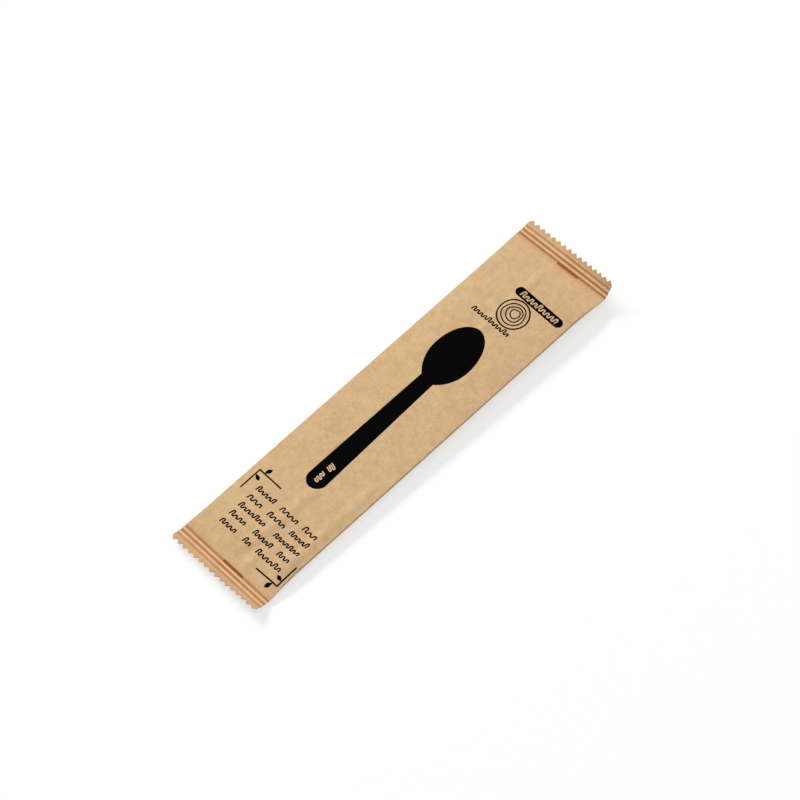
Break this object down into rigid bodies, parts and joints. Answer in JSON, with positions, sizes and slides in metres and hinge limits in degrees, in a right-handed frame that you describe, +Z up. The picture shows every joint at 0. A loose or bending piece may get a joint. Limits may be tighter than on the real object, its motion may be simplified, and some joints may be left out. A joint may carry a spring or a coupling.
{
  "type": "wooden spoon pack",
  "caption": "Slim sealed kraft paper sachet for wooden spoons, with grooved end seals cut zigzag, a fin seal folded flat along the back, and a plain spoon printed on the front.",
  "frame": {"origin": "On the surface that the pack lies on, under the middle of its box.", "axes": "+X runs along the pack towards the end over the spoon's bowl, +Y across it, +Z up from its back to its printed front."},
  "size_m": [0.195, 0.045, 0.0091],
  "materials": {
    "kraft_paper": "uncoated brown kraft paper, matt"
  },
  "bodies": {
    "root": {"spoon_sachet": "kraft_paper"}
  },
  "joints": []
}
